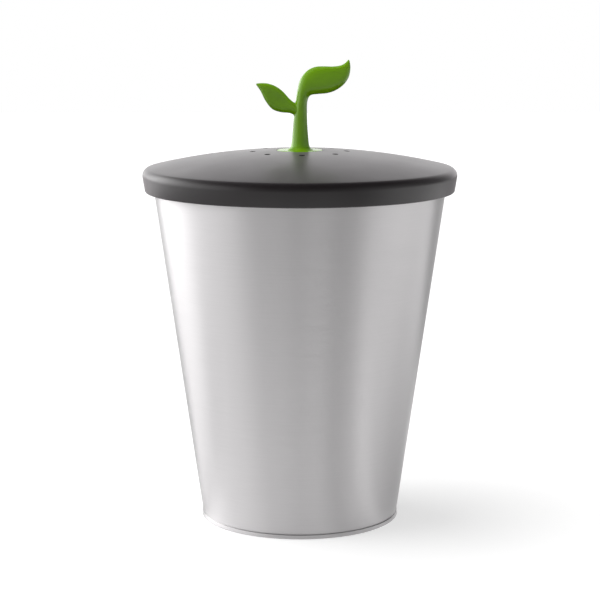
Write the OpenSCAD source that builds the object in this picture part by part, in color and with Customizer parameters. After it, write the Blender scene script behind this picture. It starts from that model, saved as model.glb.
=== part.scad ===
// Countertop compost caddy: a tapered steel crock with a lift-out bucket, a domed
// vented lid with a seedling-shaped pull, and a charcoal filter in a twist-off cap.
// Millimetres. The caddy stands on z = 0 and its axis is z; the front is -y.

/* [Steel crock] */
// Outside radius of the steel wall where its line meets the floor
foot_r = 66.05; // [55:0.05:75]
// Angle by which the wall widens from foot to rim, in degrees
wall_taper = 8.05; // [4:0.05:11]
// Height of the crock, to the top of its rolled rim
crock_h = 231.7; // [180:0.1:260]
// Thickness of the sheet steel wall
steel_t = 0.7; // [0.5:0.1:1.2]
// Radius of the rolled bead at the rim
bead_r = 1.5; // [0.9:0.1:1.8]
// Height of the folded seam round the base
seam_h = 3; // [2.5:0.1:5]
// Thickness of the base sheet, which makes the seam
pan_t = 0.6; // [0.4:0.1:1]
// Height of the base panel above the floor
pan_lift = 3.6; // [3.2:0.1:8]

/* [Lift-out bucket] */
// Gap between the steel wall and the bucket, all round
bucket_gap = 2; // [1.4:0.1:3]
// Thickness of the bucket's wall and floor
bucket_t = 1.8; // [1.4:0.1:2.5]
// Gap between the base panel and the bucket's floor
bucket_lift = 4.3; // [2:0.1:12]
// Thickness of the flange that hangs on the crock's rim
flange_t = 2; // [1.5:0.1:3]

/* [Bail handle] */
// Width of the bail, across the bucket's mouth
bail_w = 5; // [3.5:0.1:6]
// Height of the bail's section
bail_h = 4; // [3:0.1:5]
// Height of the thicker stretch that the hand holds
hold_h = 6; // [4.5:0.1:7]
// Half angle of the stretch that the hand holds, in degrees
hold_angle = 24; // [12:1:36]
// Radius of the bail's pins
pin_r = 2; // [1.5:0.1:2.5]
// Radius of the round hubs that carry the pins
hub_r = 3.5; // [3:0.1:4.5]
// Depth of the pins' axis below the flange's top
pin_drop = 7.5; // [7:0.1:12]

/* [Lid] */
// Thickness of the lid's shell
lid_t = 2.15; // [1.8:0.05:2.6]
// Radius of the lid's domed top
dome_r = 446; // [380:1:700]
// Radius of the round shoulder between dome and skirt
shoulder_r = 5; // [4:0.1:7]
// Angle by which the skirt leans out towards the shoulder, in degrees
skirt_lean = 9; // [4:0.5:20]
// How far the skirt laps down over the rim
skirt_lap = 9.2; // [5:0.1:14]
// Radius of the ring of vent holes
vent_ring_r = 31.6; // [24:0.1:45]
// Diameter of each vent hole
vent_d = 4; // [2:0.1:4.5]
// Number of vent holes
vent_count = 8; // [4:1:16]
// Angle of the front vent hole from the front, in degrees
vent_turn = 2.8; // [0:0.1:20]
// Thickness of the inner lid that carries the filter
liner_t = 1.2; // [1:0.1:1.8]
// Thickness of the sealing ring
seal_t = 2.1; // [1.2:0.1:3]
// Width of the sealing ring
seal_w = 3; // [2:0.1:3.4]
// Depth of the rib that centres the lid in the bucket's mouth
rib_h = 4.2; // [3:0.1:5]
// Diameter of the posts that join the inner lid to the shell
post_d = 6; // [4:0.5:9]
// Number of those posts
post_count = 6; // [3:1:10]

/* [Seedling grip] */
// Height of the grip above its foot
grip_h = 60.4; // [50:0.2:72]
// Radius of the grip's round foot
grip_foot_r = 15.3; // [13:0.1:20]
// Thickness of the foot
grip_foot_t = 1.6; // [1.2:0.1:2.4]
// Depth of the shallow recess that the foot sits in
recess_depth = 1.8; // [1:0.1:2.2]
// Thickness of the boss under the recess
boss_t = 3; // [2:0.1:5]
// Diameter of the screw that holds the grip
screw_d = 4; // [3:0.1:4.5]
// Length of the threaded insert in the grip's stem
insert_h = 10; // [6:0.5:14]
// Outside radius of that insert
insert_r = 3.2; // [2.8:0.1:3.8]

/* [Filter] */
// Radius of the charcoal pads
pad_r = 54.5; // [45:0.5:58]
// Thickness of each charcoal pad
pad_t = 6; // [4:0.5:7]
// Thickness of the filter cap's wall and floor
cap_t = 1.6; // [1.2:0.1:2.2]
// Thickness of the collar that the cap screws into
collar_t = 3; // [2.6:0.1:4]
// How far the cap turns to come out, in degrees
cap_turn = 60; // [45:1:75]
// How far the cap drops in that turn
cap_drop = 9; // [8.6:0.1:10]
// Height of the cap's lugs
lug_h = 2.2; // [1.6:0.1:2.6]
// How far the lugs stand out of the cap's wall
lug_w = 2.2; // [1.6:0.1:2.3]
// Angle that each lug spans, in degrees
lug_angle = 16; // [10:1:24]
// Number of spokes in the cap's grille
spoke_count = 12; // [8:1:20]
// Width of the spokes and rings of the grille
spoke_w = 2.6; // [2:0.1:4]
// Length of the bar that the fingers turn
bar_l = 44; // [30:1:60]
// Height of that bar
bar_h = 6; // [4:0.5:8]

/* [Hidden] */

// Clearances
slip = 0.3;
fold_gap = 0.05;
pin_gap = 0.05;
pad_gap = 0.5;
cap_gap = 0.5;
lug_gap = 0.35;
skirt_gap = 0.65;
mouth_gap = 0.6;
wall_gap = 0.6;
guide_gap = 0.4;
bore_gap = 0.15;
// How much further than a lug each slot runs back, in degrees
lug_play = 1.5;
// How far a rounding stands proud of the faces that it joins
proud = 0.01;
// How far joined solids reach into each other
sink = 0.4;
big = 400;

steel = [0.72, 0.71, 0.71];
charcoal = [0.20, 0.19, 0.20];
dark = [0.13, 0.13, 0.14];
leaf_green = [0.42, 0.60, 0.12];

// Crock
function wall_r(z) = foot_r + z * tan(wall_taper);
function wall_in_r(z) = wall_r(z) - steel_t;
bead_z = crock_h - bead_r;
bead_mid_r = wall_in_r(bead_z) + bead_r - fold_gap;
rim_r = bead_mid_r + bead_r;
wall_z = pan_t + fold_gap;
seam_in_r = wall_r(seam_h) + fold_gap;
seam_out_r = seam_in_r + pan_t;
chuck_r = wall_in_r(wall_z) - fold_gap;

// Bucket
function bucket_r(z) = wall_in_r(z) - bucket_gap;
function bucket_in_r(z) = bucket_r(z) - bucket_t;
bucket_z = pan_lift + pan_t + bucket_lift;
flange_z = crock_h + slip;
flange_top = flange_z + flange_t;
guide_r = bead_mid_r - bead_r - guide_gap;
guide_depth = 2;
guide_z = flange_z - guide_depth;
bucket_floor_edge = 5;

// Bail
pin_z = flange_top - pin_drop;
ear_h = 2;
ear_wall = 2.2;
ear_face = bucket_in_r(pin_z) - ear_h;
bail_out_r = ear_face - mouth_gap;
bail_in_r = bail_out_r - bail_w;
pin_end = wall_in_r(pin_z) - wall_gap;
ear_r = pin_r + ear_wall;
hold_swell = 0.4;
rest_z = pin_z - bail_h / 2 - slip;
rest_h = 2;
rest_w = 9;
rest_angle = 40;

// Lid, stacked up from the bucket's flange
seal_z = flange_top;
seat_z = seal_z + seal_t;
liner_top = seat_z + liner_t;
seal_inset = 1.2;
seal_in_r = bucket_in_r(flange_top) + seal_inset;
seal_out_r = seal_in_r + seal_w;
pad_ring_in = seal_in_r - 0.1;
pad_ring_out = seal_out_r + 0.1;
liner_r = pad_ring_in - 0.2;
liner_gap = 0.1;
dome_in_r = dome_r - lid_t;
dome_z = liner_top + liner_gap - sqrt(pow(dome_in_r, 2) - pow(liner_r, 2));
apex = dome_z + dome_r;
skirt_z = crock_h - skirt_lap;
hem_r = lid_t / 2;
skirt_r = rim_r + skirt_gap + lid_t;
rib_out_r = bucket_in_r(flange_z) - mouth_gap;
rib_t = 1.8;

// The shoulder's centre lies shoulder_r inside both the skirt's line and the dome
skirt_dir = [sin(skirt_lean), cos(skirt_lean)];
skirt_in = [-cos(skirt_lean), sin(skirt_lean)];
hem = [skirt_r, skirt_z + hem_r];
from_dome = hem + shoulder_r * skirt_in - [0, dome_z];
along = from_dome * skirt_dir;
reach = sqrt(pow(along, 2) - from_dome * from_dome + pow(dome_r - shoulder_r, 2)) - along;
shoulder = hem + shoulder_r * skirt_in + reach * skirt_dir;
shoulder_dir = (shoulder - [0, dome_z]) / norm(shoulder - [0, dome_z]);

// Grip
grip_seat = apex - recess_depth;
grip_top = grip_seat + grip_foot_t;
recess_r = grip_foot_r + slip;
boss_z = grip_seat - boss_t;
boss_wall = 2.4;
boss_r = recess_r + boss_wall;
washer_t = 0.8;
washer_r = 5;
head_r = 3.8;
head_h = 2.6;
cross_l = 4.4;
cross_w = 1;
cross_depth = 1.4;
bore_floor = 0.8;
insert_z = grip_seat + bore_floor;
screw_end = insert_z + insert_h - 1;

// Filter cap and its collar
cap_in_r = pad_r + pad_gap;
cap_r = cap_in_r + cap_t;
collar_r = cap_r + cap_gap;
collar_out_r = collar_r + collar_t;
slot_r = cap_r + lug_w + lug_gap;
pads_z = liner_top + slip - 2 * pad_t;
cap_z = pads_z - cap_t;
cap_headroom = 1.2;
cap_top = seat_z - cap_headroom;
collar_z = cap_z;
lug_rise = 7.2;
lug_z = collar_z + lug_rise;
drop_per_degree = cap_drop / cap_turn;
lug_count = 3;
slot_end = (lug_z + lug_h / 2 + lug_gap - collar_z) / drop_per_degree + 1;
helix_step = 4;

// Posts between the lid's shell and the inner lid
post_ring_r = (liner_r + collar_out_r) / 2;
post_drop = dome_r - sqrt(pow(dome_r, 2) - pow(post_ring_r + post_d / 2, 2));

// Points of an arc, from angle a to angle b
function arc(mid, r, a, b, n) = [for (i = [0 : n]) mid + r * [cos(a + (b - a) * i / n), sin(a + (b - a) * i / n)]];

// Steel wall, open at both ends, with its rim rolled round into a bead
module body_shell() {
    color(steel)
    rotate_extrude($fn = 180)
    union() {
        polygon([[wall_r(wall_z) - steel_t, wall_z], [wall_r(wall_z), wall_z],
                 [wall_r(bead_z), bead_z], [wall_in_r(bead_z), bead_z]]);
        translate([bead_mid_r, bead_z]) circle(bead_r, $fn = 48);
    }
}

// Base sheet: a raised panel whose edge folds down, out and up round the wall's foot
module base_pan() {
    corner = pan_t;
    color(steel)
    rotate_extrude($fn = 180)
    polygon(concat(
        [[0, pan_lift]],
        [[chuck_r - pan_t, pan_lift]],
        arc([chuck_r - pan_t + corner, corner], corner, 180, 270, 5),
        arc([seam_out_r - corner, corner], corner, 270, 360, 5),
        arc([seam_out_r - pan_t / 2, seam_h - pan_t / 2], pan_t / 2, 0, 180, 6),
        [[seam_in_r, pan_t], [chuck_r, pan_t]],
        arc([chuck_r - corner, pan_lift + pan_t - corner], corner, 0, 90, 5),
        [[0, pan_lift + pan_t]]));
}

// One half of the bucket's section, from its floor to the flange
module bucket_section() {
    edge = bucket_floor_edge;
    polygon(concat(
        [[0, bucket_z]],
        arc([bucket_r(bucket_z) - edge, bucket_z + edge], edge, 270, 352, 8),
        [[bucket_r(guide_z), guide_z], [guide_r, guide_z], [guide_r, flange_z]],
        arc([rim_r - flange_t / 2, flange_z + flange_t / 2], flange_t / 2, 270, 450, 8),
        [[bucket_in_r(flange_top), flange_top]],
        arc([bucket_r(bucket_z) - edge, bucket_z + edge], edge - bucket_t, 352, 270, 8),
        [[0, bucket_z + bucket_t]]));
}

// Short ledge inside the mouth, on which the folded bail lies
module bail_rest(angle) {
    intersection() {
        rotate(angle)
        translate([bail_in_r, -rest_w / 2, rest_z - rest_h])
        cube([bucket_r(rest_z) - bail_in_r, rest_w, rest_h]);
        cylinder(h = rest_z, r1 = bucket_r(0) - bucket_t / 2, r2 = bucket_r(rest_z) - bucket_t / 2, $fn = 180);
    }
}

// Plastic bucket: it hangs by its flange on the rim, and carries the bail in two ears
module inner_bucket() {
    color(dark)
    difference() {
        union() {
            rotate_extrude($fn = 180) bucket_section();
            for (side = [0, 180])
                rotate(side)
                translate([ear_face, 0, pin_z])
                rotate([0, 90, 0])
                cylinder(h = bucket_r(pin_z) - bucket_t / 2 - ear_face, r = ear_r, $fn = 48);
            for (angle = [rest_angle, 180 - rest_angle, 180 + rest_angle, -rest_angle])
                bail_rest(angle);
        }
        translate([-big / 2, 0, pin_z])
        rotate([0, 90, 0])
        cylinder(h = big, r = pin_r + pin_gap, $fn = 48);
    }
}

// Half-round bail, folded to the back, with a thicker stretch for the hand
module bail_handle() {
    color(charcoal)
    translate([0, 0, pin_z])
    union() {
        rotate_extrude(angle = 180, $fn = 180)
        translate([bail_in_r, -bail_h / 2])
        square([bail_w, bail_h]);
        rotate(90 - hold_angle)
        rotate_extrude(angle = 2 * hold_angle, $fn = 180)
        translate([bail_in_r - hold_swell, -bail_h / 2])
        square([bail_w + 2 * hold_swell, hold_h]);
        for (side = [0, 180])
            rotate(side)
            rotate([0, 90, 0])
            union() {
                translate([0, 0, bail_in_r]) cylinder(h = bail_w, r = hub_r, $fn = 48);
                translate([0, 0, bail_out_r - sink]) cylinder(h = pin_end - bail_out_r + sink, r = pin_r, $fn = 48);
            }
    }
}

// Half section of all that lies under the lid's outer face, moved in by inset
module lid_region(inset, low) {
    corner = shoulder - (shoulder_r - inset) * skirt_in;
    foot = corner - (corner[1] - low) / skirt_dir[1] * skirt_dir;
    intersection() {
        translate([0, dome_z]) circle(dome_r - inset, $fn = 720);
        union() {
            polygon([[0, low], foot, corner, shoulder, shoulder + 2 * shoulder_r * shoulder_dir - [0.1, 0],
                     [0, apex + shoulder_r]]);
            translate(shoulder) circle(shoulder_r - inset + proud, $fn = 96);
        }
    }
}

// Domed lid with a round shoulder and a skirt that laps the rim; it has a ring of vent
// holes, a recess for the grip's foot and posts that carry the inner lid
module lid_shell() {
    vent_top = apex + 1;
    color(charcoal)
    difference() {
        union() {
            rotate_extrude($fn = 180)
            difference() {
                union() {
                    difference() {
                        lid_region(0, hem[1]);
                        lid_region(lid_t, hem[1] - 1);
                    }
                    translate(hem + hem_r * skirt_in) circle(hem_r + proud, $fn = 48);
                    translate([0, boss_z]) square([boss_r, boss_t - sink]);
                    translate([pad_ring_in, seat_z]) square([pad_ring_out - pad_ring_in, liner_t + sink]);
                }
                translate([0, grip_seat]) square([recess_r, big]);
                square([screw_d / 2 + slip, big]);
                translate([-big, 0]) square([big, big]);
            }
            for (i = [0 : post_count - 1])
                rotate(i * 360 / post_count)
                translate([post_ring_r, 0, liner_top])
                cylinder(h = apex - lid_t / 2 - post_drop - liner_top, d = post_d, $fn = 32);
        }
        for (i = [0 : vent_count - 1])
            rotate(vent_turn - 90 + i * 360 / vent_count)
            translate([vent_ring_r, 0, boss_z])
            cylinder(h = vent_top - boss_z, d = vent_d, $fn = 32);
    }
}

// Bar of four-sided section swept down a helix, between two angles
module helix_bar(r1, r2, h, z, from, to) {
    n = ceil((to - from) / helix_step);
    rings = [for (i = [0 : n]) let (a = from + (to - from) * i / n, drop = a * drop_per_degree)
        for (p = [[r1, -h / 2], [r2, -h / 2], [r2, h / 2], [r1, h / 2]])
        [p[0] * cos(a), -p[0] * sin(a), z - drop + p[1]]];
    sides = [for (i = [0 : n - 1]) for (j = [0 : 3]) let (k = (j + 1) % 4)
        each [[4 * i + j, 4 * i + 4 + j, 4 * i + k], [4 * i + k, 4 * i + 4 + j, 4 * i + 4 + k]]];
    ends = [[0, 1, 2], [0, 2, 3], [4 * n, 4 * n + 2, 4 * n + 1], [4 * n, 4 * n + 3, 4 * n + 2]];
    polyhedron(rings, concat(sides, ends), convexity = 4);
}

// Inner lid: a flat ring with a rib that centres the lid in the bucket's mouth, and a
// collar whose three helical slots take the filter cap's lugs
module lid_liner() {
    color(dark)
    difference() {
        rotate_extrude($fn = 180)
        union() {
            translate([collar_r, seat_z]) square([liner_r - collar_r, liner_t]);
            translate([collar_r, collar_z]) square([collar_t, seat_z - collar_z + liner_t / 2]);
            translate([rib_out_r - rib_t, seat_z - rib_h]) square([rib_t, rib_h + liner_t / 2]);
        }
        for (i = [0 : lug_count - 1])
            rotate(i * 360 / lug_count)
            helix_bar(collar_r - 1, slot_r, lug_h + 2 * lug_gap, lug_z, -lug_angle / 2 - lug_play, slot_end);
    }
}

// Flat sealing ring between the lid and the bucket's flange
module lid_seal() {
    color("dimgray")
    rotate_extrude($fn = 180)
    translate([seal_in_r, seal_z])
    square([seal_w, seal_t]);
}

// Smooth curve through a list of stations, at u counted in stations
function between(a, b, c, d, t) = 0.5 * (2 * b + (c - a) * t + (2 * a - 5 * b + 4 * c - d) * t * t
    + (3 * b - a - 3 * c + d) * t * t * t);
function pick(list, i) = list[max(0, min(len(list) - 1, i))];
function along_stations(list, u) = let (i = min(floor(u), len(list) - 2))
    between(pick(list, i - 1), list[i], list[i + 1], pick(list, i + 2), u - i);

// Solid lofted through stations. Each station holds one edge point, the opposite edge
// point, half the depth, and how much the faces are dished between the two edges
module leaf_loft(stations, steps, sides) {
    n = (len(stations) - 1) * steps;
    rows = [for (i = [0 : n]) along_stations(stations, i / steps)];
    points = [for (s = rows) for (j = [0 : sides - 1]) let (a = 360 * j / sides, d = sin(a))
        [(s[0] + s[2]) / 2 + (s[0] - s[2]) / 2 * cos(a), s[4] * d * (1 - s[5] * d * d),
         (s[1] + s[3]) / 2 + (s[1] - s[3]) / 2 * cos(a)]];
    mids = [for (s = [rows[0], rows[n]]) [(s[0] + s[2]) / 2, 0, (s[1] + s[3]) / 2]];
    skin = [for (i = [0 : n - 1]) for (j = [0 : sides - 1]) let (k = (j + 1) % sides, a = sides * i, b = a + sides)
        each [[a + j, a + k, b + j], [a + k, b + k, b + j]]];
    first = [for (j = [0 : sides - 1]) [sides * (n + 1), (j + 1) % sides, j]];
    last = [for (j = [0 : sides - 1]) [sides * (n + 1) + 1, sides * n + j, sides * n + (j + 1) % sides]];
    polyhedron(concat(points, mids), concat(skin, first, last), convexity = 6);
}

// Stem and large leaf, drawn 60 high above the foot: the left or upper edge, the right
// or lower edge, half the depth, and the dish
stem_stations = [
    [-9.5, -0.8, 10.3, -0.8, 10, 0],
    [-8.4, 0.2, 9, 0.2, 8.6, 0],
    [-6.9, 1.3, 7.3, 1.3, 6.9, 0],
    [-5.9, 3.2, 6.3, 3.2, 5.9, 0],
    [-5.2, 8, 5.7, 8, 5.3, 0],
    [-4.6, 16, 5.1, 16, 4.8, 0],
    [-3.9, 24.5, 4.8, 24.5, 4.5, 0],
    [-2.8, 33, 5, 32, 4.5, 0],
    [-1.5, 41, 7, 36, 4.9, 0.1],
    [0.6, 47.4, 12, 36.9, 5.4, 0.25],
    [4.8, 52.3, 18, 37.5, 5.7, 0.4],
    [10, 54.8, 23.5, 39.3, 5.6, 0.45],
    [16, 55.2, 28.8, 43, 5.2, 0.45],
    [21.5, 55.1, 32.1, 47.7, 4.4, 0.4],
    [26.4, 55.7, 33.3, 52.6, 3.2, 0.3],
    [29.8, 57.3, 33.3, 56, 2, 0.1],
    [31.8, 59.6, 32.7, 59.2, 0.9, 0]];
// Small leaf, from inside the stem to its tip: lower edge, upper edge, half depth, dish
small_leaf_stations = [
    [1, 20, 1, 29, 3.2, 0],
    [-3.4, 22.8, -3.4, 31.2, 4, 0.1],
    [-7, 24.4, -7, 34.1, 4.5, 0.3],
    [-12.8, 25, -11, 38.5, 4.7, 0.45],
    [-18.4, 27.1, -15.6, 41.9, 4.4, 0.45],
    [-22.8, 32.5, -20.6, 43.8, 3.6, 0.4],
    [-26, 38.9, -25.2, 44.2, 2.3, 0.25],
    [-28.9, 43, -28.9, 43.9, 0.7, 0]];
drawn_h = 60;
loft_sides = 20;

// Pull in the shape of a seedling: a round foot, a stem that bends over into a large
// leaf, and a small leaf on its other side. The insert sits in a bore in the stem
module seedling_grip() {
    size = grip_h / drawn_h;
    color(leaf_green)
    difference() {
        union() {
            translate([0, 0, grip_seat]) cylinder(h = grip_foot_t, r = grip_foot_r, $fn = 128);
            translate([0, 0, grip_top])
            scale(size)
            union() {
                leaf_loft(stem_stations, 2, loft_sides);
                leaf_loft(small_leaf_stations, 2, loft_sides);
            }
        }
        translate([0, 0, grip_seat - 1]) cylinder(h = insert_z + insert_h + 1 - grip_seat, r = insert_r, $fn = 48);
    }
}

// Threaded insert moulded into the stem
module grip_insert() {
    color("goldenrod")
    difference() {
        translate([0, 0, insert_z]) cylinder(h = insert_h, r = insert_r - fold_gap, $fn = 48);
        translate([0, 0, insert_z - 1]) cylinder(h = insert_h + 2, r = screw_d / 2 + fold_gap, $fn = 48);
    }
}

// Pan-head screw from inside the lid up into the insert
module grip_screw() {
    color("silver")
    translate([0, 0, boss_z - washer_t])
    union() {
        difference() {
            translate([0, 0, -head_h]) cylinder(h = head_h, r = head_r, $fn = 48);
            for (turn = [0, 90])
                rotate(turn)
                translate([-cross_l / 2, -cross_w / 2, -head_h - 1])
                cube([cross_l, cross_w, cross_depth + 1]);
        }
        translate([0, 0, -sink]) cylinder(h = screw_end - boss_z + washer_t + sink, d = screw_d, $fn = 48);
    }
}

// Flat washer under the screw's head
module grip_washer() {
    color("silver")
    translate([0, 0, boss_z - washer_t])
    difference() {
        cylinder(h = washer_t, r = washer_r, $fn = 64);
        translate([0, 0, -1]) cylinder(h = washer_t + 2, r = screw_d / 2 + bore_gap, $fn = 48);
    }
}

// Round charcoal pad; two of them lie in the cap, one on the other
module filter_pad(z) {
    color([0.09, 0.09, 0.09])
    translate([0, 0, z])
    cylinder(h = pad_t, r = pad_r, $fn = 96);
}
module filter_pad_upper() { filter_pad(pads_z + pad_t); }
module filter_pad_lower() { filter_pad(pads_z); }

// Shallow cup with a spoked grille for a floor, three lugs on its wall that run in the
// collar's slots, and a bar underneath to turn it by
module filter_cap() {
    hub = bar_l * 0.2;
    mid_ring = (hub + cap_in_r) / 2;
    color(dark)
    union() {
        translate([0, 0, cap_z])
        linear_extrude(cap_t)
        difference() {
            circle(cap_r, $fn = 180);
            difference() {
                circle(cap_in_r - spoke_w, $fn = 180);
                circle(hub, $fn = 96);
                difference() {
                    circle(mid_ring + spoke_w / 2, $fn = 128);
                    circle(mid_ring - spoke_w / 2, $fn = 128);
                }
                for (i = [0 : spoke_count - 1])
                    rotate(i * 360 / spoke_count)
                    translate([0, -spoke_w / 2])
                    square([cap_r, spoke_w]);
            }
        }
        rotate_extrude($fn = 180)
        translate([cap_in_r, cap_z + cap_t / 2])
        square([cap_t, cap_top - cap_z - cap_t / 2]);
        for (i = [0 : lug_count - 1])
            rotate(i * 360 / lug_count)
            helix_bar(cap_in_r + cap_t / 2, cap_r + lug_w, lug_h, lug_z, -lug_angle / 2, lug_angle / 2);
        translate([-bar_l / 2, -spoke_w / 2, cap_z - bar_h])
        cube([bar_l, spoke_w, bar_h + cap_t / 2]);
    }
}

body_shell();
base_pan();
inner_bucket();
bail_handle();
lid_shell();
lid_liner();
lid_seal();
seedling_grip();
grip_insert();
grip_screw();
grip_washer();
filter_pad_upper();
filter_pad_lower();
filter_cap();
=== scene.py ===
"""Dressed model of a countertop compost caddy: a brushed steel crock with a lift-out bucket, a
vented charcoal lid with a seedling-shaped grip, and a charcoal filter in a twist-off cap.
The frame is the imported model's, in metres: z up, the front at -y."""
import math

import bmesh
import bpy
from mathutils import Matrix, Vector, noise


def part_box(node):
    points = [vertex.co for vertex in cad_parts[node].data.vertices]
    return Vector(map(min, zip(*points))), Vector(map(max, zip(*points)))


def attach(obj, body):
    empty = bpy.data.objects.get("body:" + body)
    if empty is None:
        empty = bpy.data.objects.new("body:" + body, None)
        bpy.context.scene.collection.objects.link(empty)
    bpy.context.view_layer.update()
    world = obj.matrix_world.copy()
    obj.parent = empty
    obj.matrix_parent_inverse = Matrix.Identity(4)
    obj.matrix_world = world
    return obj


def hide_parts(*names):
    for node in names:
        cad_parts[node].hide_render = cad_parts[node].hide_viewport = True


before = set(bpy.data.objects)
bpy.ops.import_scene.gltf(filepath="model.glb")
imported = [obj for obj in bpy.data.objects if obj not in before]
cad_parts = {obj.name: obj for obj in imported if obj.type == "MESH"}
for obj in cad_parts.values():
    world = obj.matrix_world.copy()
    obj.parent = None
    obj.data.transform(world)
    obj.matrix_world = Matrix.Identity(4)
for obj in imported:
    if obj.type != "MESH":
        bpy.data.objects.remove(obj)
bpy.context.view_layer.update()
MM = 0.001
# Places of the colour sockets on a Mix node
MIX_A = 6
MIX_B = 7
MIX_OUT = 2

# Photograph: 600 x 600, the camera in front of the caddy and a little above its lid
PHOTO_PX = 600
FOCAL_PX = 1853.8
SENSOR = 36.0
CAMERA_AT = (0.0001, -1.2384, 0.3592)
CAMERA_DOWN = math.radians(9.68)
# Strength of the plain sky on matt surfaces
SKY = 0.25
# The floor as the camera sees it: what it glows, and how much of the light it gives back, so
# that it is white but for the caddy's shadow
FLOOR_LIFT = 0.58
FLOOR_TONE = 0.62
# Painted light: the studio's pattern that the floor glows, and tints its own light with, for shiny surfaces
# only, in the same two shares
FLOOR_GLOW = 0.50
FLOOR_SHARE = 0.45
# How far from the caddy the pattern on the floor changes over, from CLOSE_BY to AROUND and
# then from AROUND to FAR_OFF
NEAR_FLOOR = 0.30
FAR_FLOOR = 0.66
ROOM_STARTS = 0.75
ROOM_ENDS = 1.15
FLOOR_HALF = 4.0

# Painted light and shade on the floor for shiny surfaces: how bright the studio is around the caddy,
# by azimuth in degrees from the camera's side: white panels behind and at the sides, the dark room around
# the camera between them
AROUND = [(-180, 0.70), (-165, 0.55), (-152, 0.25), (-140, 0.30), (-128, 0.25), (-112, 0.20),
          (-98, 0.50), (-82, 0.80), (-62, 0.65), (-47, 0.65), (-24, 0.85), (-10, 0.80), (-2, 0.50),
          (7, 0.82), (22, 0.88), (32, 0.48), (43, 0.38), (52, 0.65), (62, 1.25), (70, 1.65),
          (90, 1.75), (122, 1.70), (133, 1.00), (142, 0.36), (156, 0.34), (166, 0.70), (180, 0.74)]
# The same on the floor close to the caddy, where the light is more even
CLOSE_BY = [(-180, 0.75), (-150, 0.35), (-138, 0.35), (-122, 0.70), (-105, 0.52), (-90, 0.45),
            (-70, 1.02), (-45, 1.20), (-20, 1.27), (0, 1.18), (15, 1.24), (30, 1.02), (45, 1.18),
            (58, 1.60), (70, 1.22), (95, 0.92), (120, 0.74), (132, 0.75), (145, 1.10), (180, 1.00)]
# The same towards the floor's far edge, which only upright shiny surfaces mirror
FAR_OFF = [(-180, 0.60), (-150, 0.40), (-138, 1.80), (-110, 2.80), (-52, 1.50), (-38, 0.60),
           (-20, 0.30), (25, 0.30), (45, 0.45), (62, 1.00), (90, 1.50), (122, 1.20), (138, 0.40),
           (160, 0.40), (180, 0.60)]
# The room above the floor in shiny surfaces: white card behind the caddy, dim at the right and
# dark round the camera
WALLS = [(-180, 1.85), (-165, 2.30), (-145, 2.00), (-100, 1.20), (-60, 0.80), (-30, 0.30),
         (30, 0.30), (60, 0.60), (90, 0.60), (105, 0.30), (134, 0.25), (152, 1.20), (165, 1.70),
         (180, 1.85)]
# How it changes with height, from the floor's level to straight overhead
ABOVE = [(0.0, 1.0), (0.30, 0.80), (0.47, 0.50), (0.62, 0.18), (1.0, 0.06)]
# The key light's soft box as shiny surfaces see it: its sides by azimuth and its height
BOX_SIDES = [(-180, 0.0), (-148, 0.0), (-138, 1.0), (-108, 0.9), (-90, 0.40), (-60, 0.24),
             (-46, 0.10), (-36, 0.0), (180, 0.0)]
BOX_HEIGHT = [(0.0, 0.8), (0.10, 1.0), (0.50, 1.0), (0.64, 0.0), (1.0, 0.0)]
BOX_GLOW = 3.1


def linear(code, alpha=1.0):
    """Turns an sRGB hex colour into a linear one."""
    parts = [int(code[i:i + 2], 16) / 255 for i in (1, 3, 5)]
    return tuple(c / 12.92 if c <= 0.04045 else ((c + 0.055) / 1.055) ** 2.4 for c in parts) + (alpha,)


def grey(value):
    """A plain linear grey."""
    return (value, value, value, 1.0)


def put(tree, kind, inputs=None, **settings):
    """Adds one node: settings are its properties, inputs are values or the sockets that feed it."""
    node = tree.nodes.new(kind)
    for name, value in settings.items():
        setattr(node, name, value)
    for name, value in (inputs or {}).items():
        if isinstance(value, bpy.types.NodeSocket):
            tree.links.new(value, node.inputs[name])
        else:
            node.inputs[name].default_value = value
    return node


def set_ramp(node, stops):
    """Gives a colour ramp its stops, each a position and a linear colour."""
    ramp = node.color_ramp
    while len(ramp.elements) > 1:
        ramp.elements.remove(ramp.elements[-1])
    ramp.elements[0].position, ramp.elements[0].color = stops[0]
    for position, colour in stops[1:]:
        ramp.elements.new(position).color = colour


def new_material(name, **values):
    """Starts a material from one Principled shader, with its plain values set on the sockets."""
    material = bpy.data.materials.new(name)
    material.use_nodes = True
    shader = material.node_tree.nodes["Principled BSDF"]
    for socket, value in values.items():
        shader.inputs[socket.replace("_", " ")].default_value = value
    return material, material.node_tree, shader


def feed(tree, shader, **sockets):
    """Links sockets of other nodes into the shader."""
    for name, socket in sockets.items():
        tree.links.new(socket, shader.inputs[name.replace("_", " ")])


def camera():
    """The camera that took the photograph."""
    data = bpy.data.cameras.new("camera")
    data.sensor_width = SENSOR
    data.lens = FOCAL_PX / PHOTO_PX * SENSOR
    data.clip_end = 20
    eye = bpy.data.objects.new("camera", data)
    eye.location = CAMERA_AT
    eye.rotation_euler = (math.pi / 2 - CAMERA_DOWN, 0, 0)
    bpy.context.scene.collection.objects.link(eye)
    bpy.context.scene.camera = eye


def studio_around(tree, x, y, stops):
    """Brightness of the studio in the direction of x and y, as a colour socket."""
    front = put(tree, "ShaderNodeMath", {0: y, 1: -1.0}, operation="MULTIPLY")
    turn = put(tree, "ShaderNodeMath", {0: x, 1: front.outputs[0]}, operation="ARCTAN2")
    share = put(tree, "ShaderNodeMapRange",
                {"Value": turn.outputs[0], "From Min": -math.pi, "From Max": math.pi})
    sides = put(tree, "ShaderNodeValToRGB", {"Fac": share.outputs[0]})
    set_ramp(sides, [((a + 180) / 360, grey(v)) for a, v in stops])
    return sides.outputs["Color"]


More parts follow.
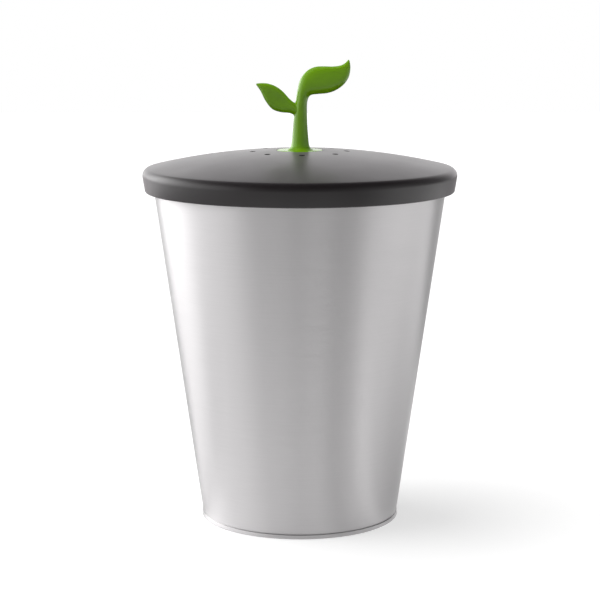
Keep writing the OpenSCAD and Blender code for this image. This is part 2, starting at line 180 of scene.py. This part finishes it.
def studio_world():
    """White for the camera. What shiny surfaces see is the studio, and what lights matt ones is a
    plain soft sky."""
    world = bpy.data.worlds.new("studio")
    bpy.context.scene.world = world
    world.use_nodes = True
    tree = world.node_tree
    tree.nodes.clear()
    ray = put(tree, "ShaderNodeLightPath")
    look = put(tree, "ShaderNodeTexCoord")
    axes = put(tree, "ShaderNodeSeparateXYZ", {0: look.outputs["Generated"]})
    x = axes.outputs["X"]
    y = axes.outputs["Y"]
    above = put(tree, "ShaderNodeValToRGB", {"Fac": axes.outputs["Z"]})
    set_ramp(above, [(p, grey(v)) for p, v in ABOVE])
    walls = put(tree, "ShaderNodeMix",
                {"Factor": 1.0, MIX_A: studio_around(tree, x, y, WALLS), MIX_B: above.outputs["Color"]},
                data_type="RGBA", blend_type="MULTIPLY")
    height = put(tree, "ShaderNodeValToRGB", {"Fac": axes.outputs["Z"]})
    set_ramp(height, [(p, grey(v)) for p, v in BOX_HEIGHT])
    box = put(tree, "ShaderNodeMix",
              {"Factor": 1.0, MIX_A: studio_around(tree, x, y, BOX_SIDES), MIX_B: height.outputs["Color"]},
              data_type="RGBA", blend_type="MULTIPLY")
    room = put(tree, "ShaderNodeMix",
               {"Factor": BOX_GLOW, MIX_A: walls.outputs[MIX_OUT], MIX_B: box.outputs[MIX_OUT]},
               data_type="RGBA", blend_type="ADD", clamp_factor=False)
    sky = put(tree, "ShaderNodeBackground", {"Color": grey(1.0), "Strength": SKY})
    studio = put(tree, "ShaderNodeBackground", {"Color": room.outputs[MIX_OUT], "Strength": 1.0})
    white = put(tree, "ShaderNodeBackground", {"Color": grey(1.0), "Strength": 1.0})
    lit = put(tree, "ShaderNodeMixShader",
              {0: ray.outputs["Is Glossy Ray"], 1: sky.outputs[0], 2: studio.outputs[0]})
    seen = put(tree, "ShaderNodeMixShader",
               {0: ray.outputs["Is Camera Ray"], 1: lit.outputs[0], 2: white.outputs[0]})
    put(tree, "ShaderNodeOutputWorld", {"Surface": seen.outputs[0]})


def soft_light(name, azimuth, elevation, spread, strength):
    """Even light from a big soft source far off, by degrees round from the camera's side and up
    from the floor. Shiny surfaces don't see it: they have the studio's pattern instead."""
    data = bpy.data.lights.new(name, "SUN")
    data.angle = math.radians(spread)
    data.energy = strength
    lamp = bpy.data.objects.new(name, data)
    turn = math.radians(azimuth)
    rise = math.radians(elevation)
    towards = Vector((math.sin(turn) * math.cos(rise), -math.cos(turn) * math.cos(rise), math.sin(rise)))
    lamp.rotation_euler = towards.to_track_quat("Z", "Y").to_euler()
    lamp.visible_glossy = False
    bpy.context.scene.collection.objects.link(lamp)


def floor():
    """White paper floor. The camera sees it as white but for the caddy's shadow, and shiny
    surfaces see the studio's light and dark painted on it, glowing and tinting by azimuth and distance."""
    half = FLOOR_HALF
    mesh = bpy.data.meshes.new("floor")
    corners = [(-half, -half, 0), (half, -half, 0), (half, half, 0), (-half, half, 0)]
    mesh.from_pydata(corners, [], [(0, 1, 2, 3)])
    material, tree, shader = new_material("paper_floor", Base_Color=grey(0.82), Roughness=0.9,
                                          Specular_IOR_Level=0.0)
    ray = put(tree, "ShaderNodeLightPath")
    place = put(tree, "ShaderNodeTexCoord")
    axes = put(tree, "ShaderNodeSeparateXYZ", {0: place.outputs["Object"]})
    # Painted light and shade: the studio's pattern on the floor by azimuth, close by, around and far off
    rings = [studio_around(tree, axes.outputs["X"], axes.outputs["Y"], stops)
             for stops in (CLOSE_BY, AROUND, FAR_OFF)]
    away = put(tree, "ShaderNodeVectorMath", {0: place.outputs["Object"]}, operation="LENGTH")
    around = rings[0]
    for ring, start, end in ((rings[1], NEAR_FLOOR, FAR_FLOOR), (rings[2], ROOM_STARTS, ROOM_ENDS)):
        fade = put(tree, "ShaderNodeMapRange",
                   {"Value": away.outputs["Value"], "From Min": start, "From Max": end},
                   interpolation_type="SMOOTHSTEP")
        mixed = put(tree, "ShaderNodeMix", {"Factor": fade.outputs[0], MIX_A: around, MIX_B: ring},
                    data_type="RGBA")
        around = mixed.outputs[MIX_OUT]
    lift = put(tree, "ShaderNodeEmission", {"Color": grey(1.0), "Strength": FLOOR_LIFT})
    paper = put(tree, "ShaderNodeBsdfDiffuse", {"Color": grey(FLOOR_TONE)})
    white = put(tree, "ShaderNodeAddShader", {0: paper.outputs[0], 1: lift.outputs[0]})
    # Painted light: for shiny surfaces the floor glows with the studio's pattern, and its own light is
    # tinted by it
    painted_glow = put(tree, "ShaderNodeEmission", {"Color": around, "Strength": FLOOR_GLOW})
    share = put(tree, "ShaderNodeMix", {"Factor": 1.0, MIX_A: around, MIX_B: grey(FLOOR_SHARE)},
                data_type="RGBA", blend_type="MULTIPLY")
    lit = put(tree, "ShaderNodeBsdfDiffuse", {"Color": share.outputs[MIX_OUT]})
    painted_studio = put(tree, "ShaderNodeAddShader", {0: lit.outputs[0], 1: painted_glow.outputs[0]})
    plain = put(tree, "ShaderNodeMixShader",
                {0: ray.outputs["Is Glossy Ray"], 1: shader.outputs[0], 2: painted_studio.outputs[0]})
    seen = put(tree, "ShaderNodeMixShader",
               {0: ray.outputs["Is Camera Ray"], 1: plain.outputs[0], 2: white.outputs[0]})
    tree.links.new(seen.outputs[0], tree.nodes["Material Output"].inputs["Surface"])
    mesh.materials.append(material)
    obj = bpy.data.objects.new("floor", mesh)
    bpy.context.scene.collection.objects.link(obj)


def stainless_sheet():
    """Stainless steel, brushed round the girth: fine level streaks and a reflection that spreads
    up and down the wall. A ground-down weld closes the sheet at the back."""
    weld_width = 1.6 * MM
    streak_length = 25 * MM
    streak_height = 0.9 * MM
    wall_radius = 85 * MM
    material, tree, shader = new_material("stainless_sheet_brushed", Base_Color=linear("#D0CECF"),
                                          Metallic=1.0, Roughness=0.42, Anisotropic=0.92,
                                          Anisotropic_Rotation=0.25)
    place = put(tree, "ShaderNodeTexCoord")
    axes = put(tree, "ShaderNodeSeparateXYZ", {0: place.outputs["Object"]})
    flat = put(tree, "ShaderNodeCombineXYZ", {"X": axes.outputs["X"], "Y": axes.outputs["Y"]})
    radial = put(tree, "ShaderNodeVectorMath", {0: flat.outputs[0]}, operation="NORMALIZE")
    turns = put(tree, "ShaderNodeSeparateXYZ", {0: radial.outputs[0]})
    around = wall_radius / streak_length
    x = put(tree, "ShaderNodeMath", {0: turns.outputs["X"], 1: around}, operation="MULTIPLY")
    y = put(tree, "ShaderNodeMath", {0: turns.outputs["Y"], 1: around}, operation="MULTIPLY")
    z = put(tree, "ShaderNodeMath", {0: axes.outputs["Z"], 1: 1 / streak_height}, operation="MULTIPLY")
    grain_at = put(tree, "ShaderNodeCombineXYZ", {"X": x.outputs[0], "Y": y.outputs[0], "Z": z.outputs[0]})
    grain = put(tree, "ShaderNodeTexNoise", {"Vector": grain_at.outputs[0], "Scale": 1.0, "Detail": 4.0})
    rough = put(tree, "ShaderNodeMapRange",
                {"Value": grain.outputs["Fac"], "From Min": 0.3, "From Max": 0.7, "To Min": 0.40,
                 "To Max": 0.44})
    tint = put(tree, "ShaderNodeMix",
               {"Factor": grain.outputs["Fac"], MIX_A: linear("#CCCACB"), MIX_B: linear("#D4D2D3")},
               data_type="RGBA")
    side = put(tree, "ShaderNodeMath", {0: axes.outputs["X"]}, operation="ABSOLUTE")
    bead = put(tree, "ShaderNodeMapRange",
               {"Value": side.outputs[0], "From Min": weld_width / 4, "From Max": weld_width / 2,
                "To Min": 1.0, "To Max": 0.0}, interpolation_type="SMOOTHSTEP")
    behind = put(tree, "ShaderNodeMath", {0: axes.outputs["Y"], 1: 0.0}, operation="GREATER_THAN")
    weld = put(tree, "ShaderNodeMath", {0: bead.outputs[0], 1: behind.outputs[0]}, operation="MULTIPLY")
    stained = put(tree, "ShaderNodeMix",
                  {"Factor": weld.outputs[0], MIX_A: tint.outputs[MIX_OUT], MIX_B: linear("#BFBAB8")},
                  data_type="RGBA")
    coarse = put(tree, "ShaderNodeMath", {0: weld.outputs[0], 1: 0.06, 2: rough.outputs[0]},
                 operation="MULTIPLY_ADD")
    height = put(tree, "ShaderNodeMath", {0: weld.outputs[0], 1: 0.6, 2: grain.outputs["Fac"]},
                 operation="MULTIPLY_ADD")
    bump = put(tree, "ShaderNodeBump", {"Height": height.outputs[0], "Strength": 0.03, "Distance": 0.2 * MM})
    tangent = put(tree, "ShaderNodeTangent", direction_type="RADIAL", axis="Z")
    feed(tree, shader, Roughness=coarse.outputs[0], Base_Color=stained.outputs[MIX_OUT],
         Normal=bump.outputs[0], Tangent=tangent.outputs[0])
    return material


def satin_abs():
    """Charcoal ABS from a satin-etched mould: nearly black, with a soft clear reflection."""
    grit = 0.35 * MM
    # Clouds about 29 mm across
    clouds_per_metre = 35.0
    material, tree, shader = new_material("abs_satin_charcoal", Base_Color=linear("#181315"),
                                          Roughness=0.36, IOR=1.52, Sheen_Weight=0.4,
                                          Sheen_Roughness=0.35, Sheen_Tint=linear("#FFF5FB"))
    place = put(tree, "ShaderNodeTexCoord")
    etch = put(tree, "ShaderNodeTexNoise",
               {"Vector": place.outputs["Object"], "Scale": 1 / grit, "Detail": 2.0})
    cloud = put(tree, "ShaderNodeTexNoise",
                {"Vector": place.outputs["Object"], "Scale": clouds_per_metre, "Detail": 3.0})
    rough = put(tree, "ShaderNodeMapRange",
                {"Value": cloud.outputs["Fac"], "From Min": 0.3, "From Max": 0.7, "To Min": 0.34,
                 "To Max": 0.38})
    bump = put(tree, "ShaderNodeBump",
               {"Height": etch.outputs["Fac"], "Strength": 0.05, "Distance": 0.1 * MM})
    feed(tree, shader, Roughness=rough.outputs[0], Normal=bump.outputs[0])
    return material


def matt_polypropylene():
    """Black polypropylene from a spark-textured mould: matt, with a fine grain."""
    grit = 0.5 * MM
    material, tree, shader = new_material("polypropylene_matt_black", Base_Color=linear("#262628"),
                                          Roughness=0.5, IOR=1.49)
    place = put(tree, "ShaderNodeTexCoord")
    grain = put(tree, "ShaderNodeTexNoise",
                {"Vector": place.outputs["Object"], "Scale": 1 / grit, "Detail": 3.0})
    tint = put(tree, "ShaderNodeMix",
               {"Factor": grain.outputs["Fac"], MIX_A: linear("#222224"), MIX_B: linear("#2B2B2D")},
               data_type="RGBA")
    bump = put(tree, "ShaderNodeBump",
               {"Height": grain.outputs["Fac"], "Strength": 0.25, "Distance": 0.1 * MM})
    feed(tree, shader, Base_Color=tint.outputs[MIX_OUT], Normal=bump.outputs[0])
    return material


def silicone():
    """Grey silicone: smooth and satin, with a faint cloudy bloom."""
    # Bloom about 8 mm across
    blooms_per_metre = 120.0
    material, tree, shader = new_material("silicone_grey", Base_Color=linear("#6B6C6E"), Roughness=0.45,
                                          IOR=1.41)
    place = put(tree, "ShaderNodeTexCoord")
    bloom = put(tree, "ShaderNodeTexNoise",
                {"Vector": place.outputs["Object"], "Scale": blooms_per_metre, "Detail": 3.0})
    tint = put(tree, "ShaderNodeMix",
               {"Factor": bloom.outputs["Fac"], MIX_A: linear("#65666A"), MIX_B: linear("#74757A")},
               data_type="RGBA")
    feed(tree, shader, Base_Color=tint.outputs[MIX_OUT])
    return material


def soft_touch_green():
    """Leaf-green moulded grip with a soft-touch skin: satin, with a fine even grit."""
    grit = 0.3 * MM
    # Clouds about 17 mm across
    clouds_per_metre = 60.0
    material, tree, shader = new_material("soft_touch_leaf_green", Base_Color=linear("#73A606"),
                                          Roughness=0.26, IOR=1.55)
    place = put(tree, "ShaderNodeTexCoord")
    skin = put(tree, "ShaderNodeTexNoise",
               {"Vector": place.outputs["Object"], "Scale": 1 / grit, "Detail": 2.0})
    cloud = put(tree, "ShaderNodeTexNoise",
                {"Vector": place.outputs["Object"], "Scale": clouds_per_metre, "Detail": 2.0})
    tint = put(tree, "ShaderNodeMix",
               {"Factor": cloud.outputs["Fac"], MIX_A: linear("#6EA004"), MIX_B: linear("#78AC08")},
               data_type="RGBA")
    bump = put(tree, "ShaderNodeBump",
               {"Height": skin.outputs["Fac"], "Strength": 0.08, "Distance": 0.1 * MM})
    feed(tree, shader, Base_Color=tint.outputs[MIX_OUT], Normal=bump.outputs[0])
    return material


def brass():
    """Machined brass: warm metal with fine turning marks."""
    # Marks about 0.35 mm apart, as a wave texture runs through 20 radians for each unit of scale
    mark_scale = 900.0
    material, tree, shader = new_material("brass_machined", Base_Color=linear("#C9A45A"), Metallic=1.0,
                                          Roughness=0.3)
    place = put(tree, "ShaderNodeTexCoord")
    marks = put(tree, "ShaderNodeTexWave",
                {"Vector": place.outputs["Object"], "Scale": mark_scale, "Distortion": 0.5},
                bands_direction="Z")
    bump = put(tree, "ShaderNodeBump",
               {"Height": marks.outputs["Fac"], "Strength": 0.1, "Distance": 0.1 * MM})
    feed(tree, shader, Normal=bump.outputs[0])
    return material


def zinc_steel():
    """Zinc-plated steel: pale grey metal with a faint cloudy spangle."""
    # Spangle about 1.4 mm across
    spangles_per_metre = 700.0
    material, tree, shader = new_material("steel_zinc_plated", Base_Color=linear("#B9BBBE"), Metallic=1.0,
                                          Roughness=0.35)
    place = put(tree, "ShaderNodeTexCoord")
    cloud = put(tree, "ShaderNodeTexNoise",
                {"Vector": place.outputs["Object"], "Scale": spangles_per_metre, "Detail": 3.0})
    rough = put(tree, "ShaderNodeMapRange", {"Value": cloud.outputs["Fac"], "To Min": 0.25, "To Max": 0.45})
    feed(tree, shader, Roughness=rough.outputs[0])
    return material


def charcoal_felt():
    """Felt loaded with charcoal: dull black fibres with paler grains."""
    # Fibres about 0.7 mm apart
    fibres_per_metre = 1400.0
    material, tree, shader = new_material("felt_charcoal", Base_Color=linear("#131313"), Roughness=0.95)
    place = put(tree, "ShaderNodeTexCoord")
    fibre = put(tree, "ShaderNodeTexNoise",
                {"Vector": place.outputs["Object"], "Scale": fibres_per_metre, "Detail": 5.0})
    tint = put(tree, "ShaderNodeValToRGB", {"Fac": fibre.outputs["Fac"]})
    set_ramp(tint, [(0.35, linear("#0B0B0B")), (0.6, linear("#1C1C1C")), (0.75, linear("#3A3A3A"))])
    bump = put(tree, "ShaderNodeBump",
               {"Height": fibre.outputs["Fac"], "Strength": 0.6, "Distance": 0.5 * MM})
    feed(tree, shader, Base_Color=tint.outputs["Color"], Normal=bump.outputs[0])
    return material


def dress(obj, material):
    """Makes one material the only one of a piece."""
    obj.data.materials.clear()
    obj.data.materials.append(material)


def lathe(shape, profile, sides):
    """Adds a solid turned about the z axis. The profile runs from axis to axis, or right round
    and back to its start, anticlockwise when seen with z up and the radius to the right."""
    rings = []
    for r, z in profile:
        turns = [2 * math.pi * j / sides for j in range(sides if r > 0 else 1)]
        rings.append([shape.verts.new((r * math.cos(t), r * math.sin(t), z)) for t in turns])
    for a, b in zip(rings, rings[1:]):
        for j in range(sides):
            k = (j + 1) % sides
            corners = [a[j % len(a)], a[k % len(a)], b[k % len(b)], b[j % len(b)]]
            shape.faces.new([v for i, v in enumerate(corners) if v not in corners[:i]])


def arc(mid, radius, start, end, steps):
    """Points of an arc in the (radius, z) plane, angles in degrees."""
    turns = [math.radians(start + (end - start) * i / steps) for i in range(steps + 1)]
    return [(mid[0] + radius * math.cos(t), mid[1] + radius * math.sin(t)) for t in turns]


def spread(start, end, steps):
    """Even steps from start to end, both included."""
    return [start + (end - start) * i / steps for i in range(steps + 1)]


def piece(name, shape):
    """Makes a finished object of a bmesh, its faces turned outwards."""
    bmesh.ops.recalc_face_normals(shape, faces=shape.faces[:])
    mesh = bpy.data.meshes.new(name)
    shape.to_mesh(mesh)
    shape.free()
    mesh.shade_smooth()
    obj = bpy.data.objects.new(name, mesh)
    bpy.context.scene.collection.objects.link(obj)
    return obj


def turned(name, profile, sides):
    """Makes an object of a profile turned about the z axis."""
    shape = bmesh.new()
    lathe(shape, profile, sides)
    return piece(name, shape)


def turned_ring(name, profile, count, radius, first):
    """Makes one object of equal turned solids on a ring round the z axis, in millimetres and
    degrees."""
    shape = bmesh.new()
    for i in range(count):
        turn = Matrix.Rotation(math.radians(first + i * 360 / count), 4, "Z")
        made = len(shape.verts)
        lathe(shape, [(r * MM, z * MM) for r, z in profile], HOLE_SIDES)
        shape.verts.ensure_lookup_table()
        bmesh.ops.transform(shape, matrix=turn @ Matrix.Translation((radius * MM, 0, 0)),
                            verts=shape.verts[made:])
    return piece(name, shape)


def settle(obj):
    """Applies an object's modifiers by taking its evaluated mesh."""
    graph = bpy.context.evaluated_depsgraph_get()
    mesh = bpy.data.meshes.new_from_object(obj.evaluated_get(graph))
    obj.modifiers.clear()
    obj.data = mesh


def join_and_cut(obj, joined, cut, sharp_from):
    """Joins one piece to this one and cuts another out of it, and removes both. Edges that bend
    more than the angle in degrees are shaded sharp."""
    for other, operation in ((joined, "UNION"), (cut, "DIFFERENCE")):
        step = obj.modifiers.new(other.name, "BOOLEAN")
        step.object = other
        step.operation = operation
        step.solver = "EXACT"
        settle(obj)
        bpy.data.objects.remove(other)
    obj.data.shade_smooth()
    obj.data.set_sharp_from_angle(angle=math.radians(sharp_from))


# Seedling grip in millimetres, drawn 60 high above its foot. Each station holds the left or lower
# edge, the right or upper edge, half the depth, and how much the faces are dished between them
STEM = [(-9.5, -0.8, 10.3, -0.8, 10, 0), (-8.4, 0.2, 9, 0.2, 8.6, 0), (-6.9, 1.3, 7.3, 1.3, 6.9, 0),
        (-5.9, 3.2, 6.3, 3.2, 5.9, 0), (-5.2, 8, 5.7, 8, 5.3, 0), (-4.6, 16, 5.1, 16, 4.8, 0),
        (-3.9, 24.5, 4.8, 24.5, 4.5, 0), (-2.8, 33, 5, 32, 4.5, 0), (-1.5, 41, 7, 36, 4.9, 0.05),
        (0.6, 47.4, 12, 36.9, 5.4, 0.12), (4.8, 52.3, 18, 37.5, 5.7, 0.2),
        (10, 54.8, 23.5, 39.3, 5.8, 0.25), (16, 55.2, 28.8, 43, 5.6, 0.28),
        (21.5, 55.1, 32.1, 47.7, 4.9, 0.28), (26.4, 55.7, 33.3, 52.6, 3.6, 0.2),
        (29.8, 57.3, 33.3, 56, 2, 0.1), (31.8, 59.6, 32.7, 59.2, 0.9, 0)]
SMALL_LEAF = [(1, 20, 1, 29, 3.2, 0), (-3.4, 22.8, -3.4, 31.2, 4, 0.1), (-7, 24.4, -7, 34.1, 4.5, 0.3),
              (-12.8, 25, -11, 38.5, 4.9, 0.5), (-18.4, 27.1, -15.6, 41.9, 4.8, 0.5),
              (-22.8, 32.5, -20.6, 43.8, 4.0, 0.4), (-26, 38.9, -25.2, 44.2, 2.3, 0.2),
              (-28.9, 43, -28.9, 43.9, 0.7, 0)]
DRAWN_HEIGHT = 60
GRIP_HEIGHT = 60.4
# The large leaf leans back from this share of the stem's length on, by up to the tilt in degrees
LEAN_FROM = 0.45
STEM_TILT = 10
STATION_STEPS = 10
STEM_SIDES = 56
LEAF_SIDES = 48
SKIN_VOXEL = 0.33
RELAX_STEPS = 8
GRIP_SHARP_FROM = 38
FOOT_RADIUS = 15.3
FOOT_HEIGHT = 1.6
FOOT_EDGE = 0.5
FOOT_SIDES = 128
BORE_RADIUS = 3.2
BORE_TOP = 10.8
BORE_SIDES = 48


def along(stations, u):
    """Station on the smooth curve through the stations, at u counted in stations."""
    i = min(int(u), len(stations) - 2)
    t = u - i
    a, b, c, d = (stations[max(0, min(len(stations) - 1, j))] for j in range(i - 1, i + 3))
    return [0.5 * (2 * q + (r - p) * t + (2 * p - 5 * q + 4 * r - s) * t * t
                   + (3 * q - p - 3 * r + s) * t ** 3)
            for p, q, r, s in zip(a, b, c, d)]


def loft(shape, stations, sides, foot_top, tilt=0.0):
    """Adds a closed loft through the stations, each step a ring of points. Its face leans back
    towards the tip, by up to the tilt."""
    scale = GRIP_HEIGHT / DRAWN_HEIGHT * MM
    last = len(stations) - 1
    rings = []
    for i in range(last * STATION_STEPS + 1):
        u = i / STATION_STEPS
        x1, z1, x2, z2, depth, dish = along(stations, u)
        lean = math.tan(tilt) * max(0.0, u / last - LEAN_FROM) / (1 - LEAN_FROM)
        ring = []
        for j in range(sides):
            turn = 2 * math.pi * j / sides
            side = math.sin(turn)
            x = (x1 + x2) / 2 + (x1 - x2) / 2 * math.cos(turn)
            y = depth * side * (1 - dish * side * side) + lean * (z1 - z2) / 2 * math.cos(turn)
            z = (z1 + z2) / 2 + (z1 - z2) / 2 * math.cos(turn)
            ring.append(shape.verts.new((x * scale, y * scale, foot_top + z * scale)))
        rings.append(ring)
    for a, b in zip(rings, rings[1:]):
        for j in range(sides):
            k = (j + 1) % sides
            shape.faces.new((a[j], b[j], b[k], a[k]))
    shape.faces.new(rings[0])
    shape.faces.new(reversed(rings[-1]))


def seedling():
    """The grip as one moulding: stem, bent-over leaf and small leaf grown into each other, on a
    thin round foot with a bore for the insert."""
    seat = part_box("seedling_grip")[0].z
    foot_top = seat + FOOT_HEIGHT * MM
    shape = bmesh.new()
    loft(shape, STEM, STEM_SIDES, foot_top, math.radians(STEM_TILT))
    loft(shape, SMALL_LEAF, LEAF_SIDES, foot_top)
    obj = piece("seedling", shape)
    grown = obj.modifiers.new("grown", "REMESH")
    grown.mode = "VOXEL"
    grown.voxel_size = SKIN_VOXEL * MM
    relax = obj.modifiers.new("relax", "SMOOTH")
    relax.factor = 0.5
    relax.iterations = RELAX_STEPS
    settle(obj)
    edge = FOOT_EDGE * MM
    r = FOOT_RADIUS * MM
    disc = [(0, seat), (r - edge / 2, seat), (r, seat + edge / 2)]
    disc += arc((r - edge, foot_top - edge), edge, 0, 90, 5) + [(0, foot_top)]
    hole = BORE_RADIUS * MM
    hole_top = seat + BORE_TOP * MM
    bore = [(0, seat - MM), (hole, seat - MM), (hole, hole_top), (0, hole_top)]
    join_and_cut(obj, turned("foot", disc, FOOT_SIDES), turned("bore", bore, BORE_SIDES), GRIP_SHARP_FROM)
    return obj


# Lid's shell in millimetres: the dome's middle and radius, its wall, the shoulder, the hem that
# ends the skirt, and what is under the dome
DOME_MID = -196.044
DOME_RADIUS = 446.0
LID_WALL = 2.15
SHOULDER_MID = (100.156, 233.432)
SHOULDER_RADIUS = 5.0
SHOULDER_TOP = 76.87
SKIRT_LEAN = 9.0
HEM_MID = (102.596, 223.743)
HEM_RADIUS = 1.075
SEAT = 236.1
SEAT_FROM = 95.745
SEAT_TO = 98.945
BOSS_BOTTOM = 245.156
BOSS_RADIUS = 18.0
RECESS_BOTTOM = 248.156
RECESS_RADIUS = 15.6
RECESS_LIP = 0.3
SCREW_HOLE = 2.3
POST_COUNT = 6
POST_RING = 77.822
POST_RADIUS = 3.0
POST_FROM = 237.3
POST_TO = 241.497
VENT_COUNT = 8
VENT_RING = 31.6
VENT_RADIUS = 2.0
VENT_TURN = 2.8
VENT_MOUTH = 0.3
# How far a vent's cutter reaches below and above the dome
VENT_BELOW = 5
VENT_ABOVE = 1.2
LID_SIDES = 288
HOLE_SIDES = 40
LID_SHARP_FROM = 30


def dome(radius, inset=0.0):
    """Height of the dome, or of its inner face, at a radius."""
    return DOME_MID + math.sqrt((DOME_RADIUS - inset) ** 2 - radius ** 2)


def lid_top():
    """The lid's shell turned in one piece: dome, round shoulder, leaning skirt with a rolled hem,
    the recess for the grip, the seat for the seal and the posts, with softly broken vent holes."""
    dome_edge = SHOULDER_MID[0] + SHOULDER_RADIUS * math.cos(math.radians(SHOULDER_TOP))
    lip = RECESS_RADIUS + RECESS_LIP
    profile = [(SCREW_HOLE, BOSS_BOTTOM), (BOSS_RADIUS, BOSS_BOTTOM)]
    profile += [(r, dome(r, LID_WALL)) for r in spread(BOSS_RADIUS, SEAT_FROM, 14)]
    profile += [(SEAT_FROM, SEAT), (SEAT_TO, SEAT), (SEAT_TO, dome(SEAT_TO, LID_WALL))]
    profile += arc(SHOULDER_MID, SHOULDER_RADIUS - LID_WALL, SHOULDER_TOP, -SKIRT_LEAN, 10)
    profile += arc(HEM_MID, HEM_RADIUS, 180 - SKIRT_LEAN, 360 - SKIRT_LEAN, 14)
    profile += arc(SHOULDER_MID, SHOULDER_RADIUS, -SKIRT_LEAN, SHOULDER_TOP, 16)
    profile += [(r, dome(r)) for r in spread(dome_edge, lip, 24)[1:]]
    profile += [(RECESS_RADIUS, dome(lip) - RECESS_LIP), (RECESS_RADIUS, RECESS_BOTTOM)]
    profile += [(SCREW_HOLE, RECESS_BOTTOM), (SCREW_HOLE, BOSS_BOTTOM)]
    shape = bmesh.new()
    lathe(shape, [(r * MM, z * MM) for r, z in profile], LID_SIDES)
    bmesh.ops.remove_doubles(shape, verts=shape.verts[:], dist=0.001 * MM)
    obj = piece("lid_top", shape)
    post = [(0, POST_FROM), (POST_RADIUS, POST_FROM), (POST_RADIUS, POST_TO), (0, POST_TO)]
    posts = turned_ring("posts", post, POST_COUNT, POST_RING, 0)
    face = dome(VENT_RING)
    wide = VENT_RADIUS + VENT_MOUTH
    vent = [(0, face - VENT_BELOW), (VENT_RADIUS, face - VENT_BELOW)]
    vent += arc((wide, face - VENT_MOUTH), VENT_MOUTH, 180, 120, 3)
    vent += [(wide + VENT_ABOVE, face + VENT_ABOVE), (0, face + VENT_ABOVE)]
    vents = turned_ring("vents", vent, VENT_COUNT, VENT_RING, VENT_TURN - 90)
    join_and_cut(obj, posts, vents, LID_SHARP_FROM)
    return obj


# Felt pad: its soft rim in millimetres, its broad and fine lumps to the metre, and their heights
# in millimetres, which are greater sideways at the rim
PAD_RIM = 1.4
PAD_STEPS = 40
PAD_SIDES = 160
BROAD_LUMPS = 160
BROAD_HEIGHT = 0.25
FINE_LUMPS = 900
FINE_HEIGHT = 0.12
RIM_SHARE = 1.2


def felt_pad(name, node):
    """Round pad of needled felt, its faces slightly uneven and its rim soft."""
    low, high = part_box(node)
    r = high.x
    rim = PAD_RIM * MM
    half = (high.z - low.z) / 2
    middle = (high.z + low.z) / 2
    shape = bmesh.new()
    face = spread(0, r - rim, PAD_STEPS)[:-1]
    profile = [(x, low.z) for x in face] + arc((r - rim, low.z + rim), rim, 270, 360, 4)
    profile += arc((r - rim, high.z - rim), rim, 0, 90, 4) + [(x, high.z) for x in reversed(face)]
    lathe(shape, profile, PAD_SIDES)
    for v in shape.verts:
        broad = noise.noise(v.co * BROAD_LUMPS) * BROAD_HEIGHT
        lumps = abs(broad + noise.noise(v.co * FINE_LUMPS) * FINE_HEIGHT)
        v.co.z -= (v.co.z - middle) / half * lumps * MM
        outward = Vector((v.co.x, v.co.y, 0))
        if outward.length > r - 2 * rim:
            v.co -= outward.normalized() * lumps * RIM_SHARE * MM
    return piece(name, shape)


steel = stainless_sheet()
abs_charcoal = satin_abs()
polypropylene = matt_polypropylene()
seal_silicone = silicone()
grip_green = soft_touch_green()
insert_brass = brass()
screw_steel = zinc_steel()
felt = charcoal_felt()

camera()
studio_world()
floor()
soft_light("key_left", azimuth=-104, elevation=67, spread=50, strength=2.0)
soft_light("side_left", azimuth=-72, elevation=22, spread=60, strength=0.9)
soft_light("fill_right", azimuth=50, elevation=35, spread=60, strength=0.15)

FINISHES = {"body_shell": steel, "base_pan": steel, "inner_bucket": polypropylene,
            "bail_handle": polypropylene, "lid_liner": polypropylene, "lid_seal": seal_silicone,
            "grip_insert": insert_brass, "grip_screw": screw_steel, "grip_washer": screw_steel,
            "filter_cap": polypropylene}
for node, finish in FINISHES.items():
    dress(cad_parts[node], finish)

top = lid_top()
dress(top, abs_charcoal)
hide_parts("lid_shell")
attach(top, "lid")
grip = seedling()
dress(grip, grip_green)
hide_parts("seedling_grip")
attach(grip, "lid")
for pad_name, pad_node in (("charcoal_pad_upper", "filter_pad_upper"),
                           ("charcoal_pad_lower", "filter_pad_lower")):
    pad = felt_pad(pad_name, pad_node)
    dress(pad, felt)
    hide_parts(pad_node)
    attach(pad, "filters")

bpy.context.scene.view_settings.view_transform = "Standard"
